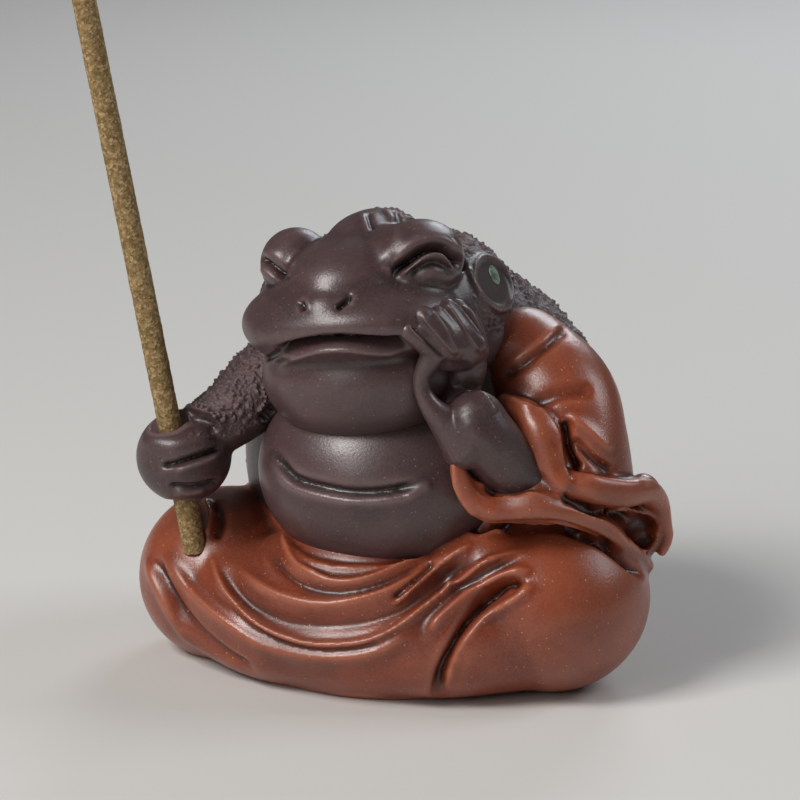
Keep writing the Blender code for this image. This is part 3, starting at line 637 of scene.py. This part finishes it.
drapeStrokes = {
    "hemRim": ([(258, 494), (270, 512), (282, 527), (304, 541), (337, 551), (369, 554), (400, 553),
                (425, 547), (445, 537), (462, 524)], 0.45, 0.25, 0.4, 1.5),
    "hemLine": ([(290, 547), (305, 560), (335, 568), (369, 568), (400, 565), (430, 556)], 0.28, 0.2, 0.22, 1.4),
    "hemHollow": ([(286, 534), (304, 551), (337, 560), (369, 562), (400, 560), (428, 552)], -0.2, 0.4, 0.3),
    "drape1": ([(280, 524), (285, 543), (294, 560), (309, 573), (335, 582), (362, 580), (398, 568),
                (432, 554)], 0.6, 0.3, 0.45, 1.4),
    "drape1Valley": ([(270, 545), (280, 566), (300, 583), (330, 592), (362, 590), (398, 579), (430, 564)],
                     -0.45, 0.4, 0.5),
    "drape2": ([(236, 566), (255, 582), (282, 596), (314, 603.5), (344, 602), (384, 591), (409, 578.6),
                (440, 562), (472, 543)], 0.6, 0.6, 0.7, 1.8),
    "drape2Split": ([(390, 606), (403, 597), (416, 586), (448, 561), (474, 543)], 0.5, 0.18, 0.26, 1.4),
    "splitValley": ([(392, 599), (410, 585), (437, 563)], -0.7, 0.22, 0.24, 1.7),
    "drape2Valley": ([(222, 566), (240, 596), (262, 612), (290, 623), (330, 626), (365, 622), (398, 611),
                      (425, 594), (455, 571), (480, 556)], -0.6, 0.9, 0.7),
    "drape3": ([(209, 550), (214, 562), (220, 578), (231, 596), (250, 616), (273, 630), (309, 641),
                (344, 642), (371, 637.5), (398, 625), (425, 605), (460, 580), (487, 561), (532, 548)],
               0.75, 0.22, 0.5, 1.4),
    "drape3Groove": ([(222, 592), (245, 618), (275, 637), (310, 648), (350, 649), (385, 641)],
                     -0.3, 0.22, 0.25),
    "drape3Band": ([(164, 556), (176, 570), (193, 591), (212, 609), (234, 625), (257, 640), (286, 650),
                    (326, 655), (362, 653), (392, 643), (420, 624)], 0.7, 0.5, 0.9, 1.8),
    "drape4": ([(440, 596), (460, 577), (481, 564), (503, 557)], 0.35, 0.2, 0.3, 1.5),
    "kneeRidge": ([(426, 634), (440, 619), (460, 602), (487, 583), (512, 574), (524, 572), (530, 578)],
                  0.75, 0.5, 0.6, 1.8),
    "kneeValley": ([(526, 582), (514, 583), (500, 588), (484, 600), (466, 622), (452, 647), (441, 672),
                    (434, 700)], -1.9, 0.85, 0.42, 1.7),
    "kneeEdge": ([(530, 580), (527, 590), (506, 605), (484, 617), (464, 640), (452, 664), (444, 695)],
                 0.65, 0.4, 0.8, 1.7),
    "kneeLeftValley": ([(155, 553), (160, 570), (168, 586), (183, 613), (203, 636), (228, 656), (256, 672)],
                       -0.75, 0.42, 0.5, 1.8),
    "kneeLeftRidge": ([(146, 556), (150, 570), (160, 592), (172, 615), (189, 638), (212, 658), (240, 674)],
                      0.5, 0.5, 0.4, 1.7),
    "stickFold": ([(205, 498), (211, 518), (206, 538)], 0.7, 0.3, 0.4, 1.6),
    "stickFoldShadow": ([(215, 500), (222, 520), (216, 542)], -0.6, 0.4, 0.5),
}
sleeveStrokes = {
    "sashUnder": ([(466, 519), (478, 527), (499, 526), (531, 524.5), (556, 525), (578, 531), (604, 542.5),
                   (627, 560), (647, 578)], -1.6, 0.24, 0.45, 2.0),
    "sashEdge": ([(489, 493), (502, 496.5), (531, 497), (556, 496.5), (579, 511), (604, 522), (616, 530),
                  (632, 548)], 0.25, 0.16, 0.25, 1.5),
    "collarEdge": ([(453, 455), (454, 470), (455.5, 487), (466, 506), (477, 520)], 0.25, 0.3, 0.16, 1.5),
    "sleeveRim": ([(499, 396), (512, 399), (524, 404), (543.5, 409), (553, 417), (558, 428), (559.5, 444),
                   (561, 458), (566, 474), (577, 488)], 0.35, 0.15, 0.35, 1.4),
    "sleeveInner": ([(507, 415), (519.5, 433), (531, 452), (538.5, 470), (537, 481)], 0.25, 0.24, 0.2, 1.5),
    "sleeveGap": ([(562, 419), (565.5, 432), (567.5, 446), (572, 460), (581, 471)], -1.4, 0.5, 0.26, 2.0),
    "shoulderCrease": ([(500, 378), (522, 363), (541, 348), (556, 335), (568, 324)], -0.55, 0.32, 0.6, 1.9),
    "shoulderLip": ([(512, 367), (522, 359), (541, 344), (555, 331), (565, 322)], 0.22, 0.6, 0.3, 1.8),
    "elbowShadow": ([(528, 408), (545, 401), (557, 396.5), (578, 393), (594, 395)], -0.45, 0.8, 0.5),
    "starRidge": ([(567, 414), (585, 428), (597.5, 439), (612, 453)], 0.38, 0.6, 0.3, 1.5),
    "starHollow": ([(572, 436), (583, 450), (595, 461.5), (614, 474)], -0.65, 0.55, 0.45),
    "hemUnder": ([(560, 495), (572, 501), (590, 509), (612, 514), (630, 517)], -1.0, 0.3, 0.42, 2.2),
    "hemTop": ([(584, 474), (600, 478), (626, 483), (645, 482)], 0.2, 0.3, 0.5),
}
backStrokes = {
    "backFold1": ([(240, 350), (300, 430), (420, 495), (590, 520)], 0.6, 0.9, 0.5, 1.6),
    "backValley1": ([(228, 372), (292, 455), (415, 522), (596, 542)], -0.5, 0.8, 0.8),
    "backFold2": ([(220, 395), (285, 485), (410, 552), (600, 566)], 0.6, 0.9, 0.5, 1.6),
    "backValley2": ([(216, 420), (280, 512), (400, 582), (590, 592)], -0.5, 0.8, 0.8),
    "backFold3": ([(212, 445), (275, 540), (390, 610), (570, 618)], 0.6, 0.9, 0.5, 1.6),
    "backFold4": ([(214, 510), (270, 590), (370, 640), (520, 650)], 0.5, 0.9, 0.5, 1.6),
}


def makeRobe():
    legs = [ball(name, *mass) for name, mass in robe["legs"].items()]
    legs += [roll(name, *shin) for name, shin in robe["shins"].items()]
    legs = pressedTogether("legs", legs, 0.38, 14)
    sleeve = [roll(name, *robe[name]) for name in ("robedArm", "sleeveBack")]
    sleeve = pressedTogether("sleeve", [*sleeve, ball("sleeveCorner", *robe["sleeveCorner"])], 0.38, 14)
    folds = [roll(name, drawn(path), radii) for name, (path, radii) in robe["folds"].items()]
    cloth = ball("cloth", torso["back"][0], [radius + robe["clothThickness"] for radius in torso["back"][1]])
    cutOff(cloth, robe["necklineAt"], robe["necklineSlope"])
    cutOff(cloth, robe["lapelAt"], robe["lapelSlope"])
    fillings = [ball(name, *robe[name]) for name in ("lap", "underSash")]
    made = pressedTogether("monkRobe", [legs, sleeve, *folds, *fillings, cloth], robe["voxel"], 7)
    paths, radii = robe["cuffHollow"]
    hollow = pressedTogether("cuffHollow", [roll("hollow", drawn(path), radii) for path in paths], 0.15, 3)
    carved(made, hollow)
    tooled(made, drapeStrokes, photoView)
    tooled(made, sleeveStrokes, photoView)
    tooled(made, backStrokes, backView)
    made = pressedTogether("monkRobe", [made], robe["voxel"], 2)
    cutOff(made, (0, 0, 0), (0, 0, -1))
    thinned(made)
    return made


# Incense stick: powdered wood pressed to a rod, with a granular skin
stick = {
    "rings": 420, "sides": 40, "grain": 0.035, "grainSize": 0.35, "lump": 0.03, "lumpSize": 1.4,
    # rings in the two end faces, so that the broken ends can be rough
    "endRings": (0.06, 0.15, 0.25, 0.275),
}


def makeStick():
    length = Vector(stickTop - stickFoot).length
    bpy.ops.mesh.primitive_cylinder_add(vertices=stick["sides"], radius=stickDiameter / 2, depth=length)
    made = bpy.context.object
    made.name = "incenseStick"
    bpy.ops.object.mode_set(mode="EDIT")
    bpy.ops.mesh.select_all(action="DESELECT")
    bm = bmesh.from_edit_mesh(made.data)
    long = [edge for edge in bm.edges if abs(edge.verts[0].co.z - edge.verts[1].co.z) > length / 2]
    bmesh.ops.subdivide_edges(bm, edges=long, cuts=stick["rings"], use_grid_fill=False)
    caps = [face for face in bm.faces if len(face.verts) > 4]
    for width in stick["endRings"]:
        caps = [face for face in caps if face.is_valid]
        bmesh.ops.inset_region(bm, faces=caps, thickness=width, use_even_offset=True)
    bmesh.update_edit_mesh(made.data)
    bpy.ops.object.mode_set(mode="OBJECT")
    points = pointsOf(made.data)
    radius = np.hypot(points[:, 0], points[:, 1])
    for index, point in enumerate(points):
        place = Vector(point)
        rough = noise.noise(place / stick["grainSize"]) * stick["grain"]
        rough += noise.noise(place / stick["lumpSize"] + Vector((9, 9, 9))) * stick["lump"] - 0.03
        if radius[index] > stickDiameter / 2 - 0.02:
            point[:2] *= 1 + rough / radius[index]
        if abs(point[2]) > length / 2 - 0.01:
            point[2] -= math.copysign(0.04 + abs(rough) + 0.12 * (radius[index] / 1.1) ** 6, point[2])
    movePoints(made.data, points)
    lean = stickLean.to_track_quat("Z", "Y").to_matrix().to_4x4()
    middle = (Vector(stickFoot) + Vector(stickTop)) / 2
    made.data.transform(Matrix.Translation(middle) @ lean)
    return made


# Ear inlays: a drop of pale green clay set in each ear
inlay = {"thickness": 0.14, "lift": 0.05, "colour": "#93a68f", "cloud": "#55695a"}


def makeInlays(skull):
    tree, made = treeOf(skull), []
    shown = laidOn(skull, earInlay["long"] + earInlay["wide"], inlay["lift"])
    hidden = [mirrored(tree, point) for point in shown]
    for name, (top, bottom, front, back) in (("leftEarInlay", shown), ("rightEarInlay", hidden)):
        middle = (top + bottom) / 2
        long = (bottom - top) / 2
        normal = long.cross(back - front).normalized()
        if normal.dot(middle - Vector(head["at"])) < 0:
            normal.negate()
        short = normal.cross(long.normalized())
        drop = ball(name, (0, 0, 0), (long.length, (back - front).length / 2, inlay["thickness"]))
        points = pointsOf(drop.data)
        points[:, 1] *= 1 - 0.22 * points[:, 0] / long.length  # a drop, a little fuller at one end
        movePoints(drop.data, points)
        axes = Matrix((long.normalized(), short, normal)).transposed().to_4x4()
        drop.data.transform(Matrix.Translation(middle) @ axes)
        made.append(drop)
    return made


def perMm(size):
    # a texture's scale for features of that size in mm, since Object coordinates are metres
    return 1000.0 / size


def colourOf(hexCode):
    channels = [int(hexCode[start:start + 2], 16) / 255 for start in (1, 3, 5)]
    return (*(c / 12.92 if c <= 0.04045 else ((c + 0.055) / 1.055) ** 2.4 for c in channels), 1.0)


def addNode(tree, kind, inputs, **settings):
    made = tree.nodes.new(kind)
    for name, value in settings.items():
        setattr(made, name, value)
    for socket, value in inputs.items():
        if isinstance(value, bpy.types.NodeSocket):
            tree.links.new(value, made.inputs[socket])
        else:
            made.inputs[socket].default_value = value
    return made


def newMaterial(name):
    made = bpy.data.materials.new(name)
    made.use_nodes = True
    return made, made.node_tree, made.node_tree.nodes["Principled BSDF"]


def mixed(tree, share, first, second):
    inputs = {"Factor": share, 6: first, 7: second}
    return addNode(tree, "ShaderNodeMix", inputs, data_type="RGBA", clamp_factor=True).outputs[2]


def ranged(tree, value, fromLow, fromHigh, toLow=0.0, toHigh=1.0):
    inputs = {"Value": value, "From Min": fromLow, "From Max": fromHigh, "To Min": toLow, "To Max": toHigh}
    return addNode(tree, "ShaderNodeMapRange", inputs).outputs["Result"]


toadClay = {
    # purple-brown stoneware with fine sand in it, rubbed to a soft shine; the crease colour is painted shade
    # for its hollows
    "name": "darkStonewareClay", "colour": "#4c3536", "cloud": "#3b292a", "edge": "#715a5b",
    "paintedCreaseShade": "#160e0f", "mica": "#86735f", "roughness": (0.31, 0.42), "grainBump": 0.38,
}
robeClay = {
    # iron-red stoneware, rubbed to a soft shine, its folds worn paler; the crease colour is painted shade for
    # its hollows
    "name": "redStonewareClay", "colour": "#883c22", "cloud": "#6e2d18", "edge": "#b4694d",
    "paintedCreaseShade": "#331007", "mica": "#c99a5c", "roughness": (0.29, 0.4), "grainBump": 0.36,
}


def clayMaterial(look):
    made, tree, shader = newMaterial(look["name"])
    place = addNode(tree, "ShaderNodeTexCoord", {}).outputs["Object"]
    relief = addNode(tree, "ShaderNodeAttribute", {}, attribute_name="relief").outputs["Fac"]
    cloud = addNode(tree, "ShaderNodeTexNoise", {"Vector": place, "Scale": perMm(5.0), "Detail": 5.0})
    grain = addNode(tree, "ShaderNodeTexNoise", {"Vector": place, "Scale": perMm(0.22), "Detail": 3.0})
    sand = addNode(tree, "ShaderNodeTexVoronoi", {"Vector": place, "Scale": perMm(0.17)})
    colour = mixed(tree, ranged(tree, cloud.outputs["Fac"], 0.38, 0.66), colourOf(look["cloud"]),
                   colourOf(look["colour"]))
    pale = ranged(tree, grain.outputs["Fac"], 0.35, 0.7, 0.0, 0.22)
    colour = mixed(tree, pale, colour, colourOf(look["edge"]))
    colour = mixed(tree, ranged(tree, relief, 0.56, 0.95, 0.0, 0.75), colour, colourOf(look["edge"]))
    # painted shade: the hollows and creases are darkened towards the crease colour, as shade would fall in them
    colour = mixed(tree, ranged(tree, relief, 0.46, 0.12, 0.0, 0.85), colour, colourOf(look["paintedCreaseShade"]))
    # mica: about one grain of sand in sixty is a pale, glinting flake
    lot = addNode(tree, "ShaderNodeSeparateColor", {"Color": sand.outputs["Color"]}).outputs["Red"]
    near = ranged(tree, sand.outputs["Distance"], 0.42, 0.3)
    chosen = ranged(tree, lot, 0.982, 0.986)
    mica = addNode(tree, "ShaderNodeMath", {0: chosen, 1: near}, operation="MULTIPLY")
    colour = mixed(tree, mica.outputs[0], colour, colourOf(look["mica"]))
    # the warty skin is not rubbed, so it is matt and dusty
    warts = addNode(tree, "ShaderNodeAttribute", {}, attribute_name="warts").outputs["Fac"]
    colour = mixed(tree, ranged(tree, warts, 0.0, 1.0, 0.0, 0.35), colour, colourOf(look["edge"]))
    tree.links.new(colour, shader.inputs["Base Color"])
    low, high = look["roughness"]
    rough = ranged(tree, cloud.outputs["Fac"], 0.35, 0.65, high, low)
    rough = addNode(tree, "ShaderNodeMath", {0: warts, 1: 0.2, 2: rough}, operation="MULTIPLY_ADD").outputs[0]
    tree.links.new(rough, shader.inputs["Roughness"])
    shader.inputs["IOR"].default_value = 1.5
    shader.inputs["Specular IOR Level"].default_value = 0.7
    fine = addNode(tree, "ShaderNodeBump", {"Height": grain.outputs["Fac"], "Strength": look["grainBump"],
                                            "Distance": 0.00006})
    pits = addNode(tree, "ShaderNodeTexNoise", {"Vector": place, "Scale": perMm(0.35), "Detail": 4.0})
    pitted = addNode(tree, "ShaderNodeMath", {0: pits.outputs["Fac"], 1: warts}, operation="MULTIPLY")
    coarse = addNode(tree, "ShaderNodeBump", {"Height": pitted.outputs[0], "Strength": 0.8,
                                              "Distance": 0.0003, "Normal": fine.outputs["Normal"]})
    tree.links.new(coarse.outputs["Normal"], shader.inputs["Normal"])
    return made


incense = {"colour": "#9d8159", "dark": "#77603c", "pale": "#bba27a", "olive": "#857850"}


def incenseMaterial():
    # pressed wood powder: matt, mottled in tan and olive grains
    made, tree, shader = newMaterial("pressedIncensePowder")
    place = addNode(tree, "ShaderNodeTexCoord", {}).outputs["Object"]
    mottle = addNode(tree, "ShaderNodeTexNoise", {"Vector": place, "Scale": perMm(0.5), "Detail": 5.0})
    grains = addNode(tree, "ShaderNodeTexVoronoi", {"Vector": place, "Scale": perMm(0.24)})
    lot = addNode(tree, "ShaderNodeSeparateColor", {"Color": grains.outputs["Color"]})
    colour = mixed(tree, ranged(tree, mottle.outputs["Fac"], 0.4, 0.62), colourOf(incense["dark"]),
                   colourOf(incense["colour"]))
    pale = ranged(tree, lot.outputs["Red"], 0.72, 0.8, 0.0, 0.7)
    colour = mixed(tree, pale, colour, colourOf(incense["pale"]))
    olive = ranged(tree, lot.outputs["Green"], 0.75, 0.8, 0.0, 0.35)
    colour = mixed(tree, olive, colour, colourOf(incense["olive"]))
    tree.links.new(colour, shader.inputs["Base Color"])
    shader.inputs["Roughness"].default_value = 0.9
    shader.inputs["Specular IOR Level"].default_value = 0.25
    bump = addNode(tree, "ShaderNodeBump", {"Height": grains.outputs["Distance"], "Strength": 0.5,
                                            "Distance": 0.00012})
    tree.links.new(bump.outputs["Normal"], shader.inputs["Normal"])
    return made


def inlayMaterial():
    # pale green porcelain clay, a little glassy, cloudy inside
    made, tree, shader = newMaterial("paleGreenPorcelainClay")
    place = addNode(tree, "ShaderNodeTexCoord", {}).outputs["Object"]
    cloud = addNode(tree, "ShaderNodeTexNoise", {"Vector": place, "Scale": perMm(0.6), "Detail": 3.0})
    share = ranged(tree, cloud.outputs["Fac"], 0.4, 0.6)
    colour = mixed(tree, share, colourOf(inlay["cloud"]), colourOf(inlay["colour"]))
    tree.links.new(colour, shader.inputs["Base Color"])
    shader.inputs["Roughness"].default_value = 0.3
    return made


def finished(piece, material, slot, *nodes):
    piece.data.transform(Matrix.Scale(metres, 4))
    piece.data.materials.clear()
    piece.data.materials.append(material)
    activate(piece)
    bpy.ops.object.shade_smooth()
    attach(piece, "root")
    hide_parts(*nodes)


skull = makeHead()
inlays = makeInlays(skull)
print("head modelled")
body = makeTorso()
print("torso modelled")
rightArmPiece = makeRightArm()
print("right arm modelled")
leftArmPiece = makeLeftArm()
print("left arm modelled")
cloth = makeRobe()
print("robe modelled")
rod = makeStick()
print("incense stick modelled")

darkClay = clayMaterial(toadClay)
redClay = clayMaterial(robeClay)
for piece in (skull, body, rightArmPiece, leftArmPiece):
    markRelief(piece, 30, 0.16)
    finished(piece, darkClay, "dark_clay", "toad_figure")
markRelief(cloth, 26, 0.2)
finished(cloth, redClay, "red_clay", "toad_figure")
finished(rod, incenseMaterial(), "incense", "incense_stick")
paleGreen = inlayMaterial()
for drop in inlays:
    finished(drop, paleGreen, "dark_clay", "toad_figure")
print("pieces finished")

# Stage: a pale floor, and four soft lamps: two in front on the left, one on the right and one behind
stage = {"floorSize": 1.6, "floor": "#dcdad6", "world": 0.1, "horizon": "#eceae8"}
lamps = {
    "softboxFront": {"at": (-0.23, -0.295, 0.386), "size": 0.2, "power": 1.95, "colour": (1.0, 0.98, 0.96)},
    "softboxLow": {"at": (-0.191, -0.473, 0.231), "size": 0.2, "power": 0.38, "colour": (1.0, 0.97, 0.98)},
    "windowRight": {"at": (0.34, 0.137, 0.289), "size": 0.18, "power": 0.55, "colour": (0.9, 0.95, 1.0)},
    "windowBack": {"at": (0.03, 0.44, 0.26), "size": 0.18, "power": 0.6, "colour": (0.86, 0.93, 1.0)},
}


def makeFloor():
    # a matt, pale table top
    bpy.ops.mesh.primitive_plane_add(size=stage["floorSize"])
    floor = bpy.context.object
    floor.name = "floor"
    made, tree, shader = newMaterial("paleTable")
    shader.inputs["Base Color"].default_value = colourOf(stage["floor"])
    shader.inputs["Roughness"].default_value = 0.8
    shader.inputs["Specular IOR Level"].default_value = 0.2
    floor.data.materials.append(made)


def makeLight():
    world = bpy.data.worlds.new("studio")
    bpy.context.scene.world = world
    world.use_nodes = True
    background = world.node_tree.nodes["Background"]
    background.inputs["Color"].default_value = colourOf(stage["horizon"])
    background.inputs["Strength"].default_value = stage["world"]
    target = Vector(photoView["target"]) * metres
    for name, lamp in lamps.items():
        data = bpy.data.lights.new(name, "AREA")
        data.size = lamp["size"]
        data.energy = lamp["power"]
        data.color = lamp["colour"]
        made = bpy.data.objects.new(name, data)
        made.location = lamp["at"]
        made.rotation_euler = (target - made.location).to_track_quat("-Z", "Y").to_euler()
        bpy.context.scene.collection.objects.link(made)


def makeCamera():
    data = bpy.data.cameras.new("photograph")
    made = bpy.data.objects.new("photograph", data)
    data.sensor_width = 36.0
    data.lens = data.sensor_width * photoView["distance"] * photoView["unitsPerMm"] / photoView["pictureSize"]
    data.clip_start = 0.01
    made.location = eyeOf(photoView) * metres
    target = Vector(photoView["target"]) * metres
    made.rotation_euler = (target - made.location).to_track_quat("-Z", "Y").to_euler()
    bpy.context.scene.collection.objects.link(made)
    bpy.context.scene.camera = made


makeFloor()
makeLight()
makeCamera()
bpy.context.scene.view_settings.view_transform = "Standard"
print("stage, lamps and camera set")

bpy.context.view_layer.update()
for piece in (skull, body, rightArmPiece, leftArmPiece, cloth, rod, *inlays):
    print(piece.name, "triangles:", sum(len(face.vertices) - 2 for face in piece.data.polygons))
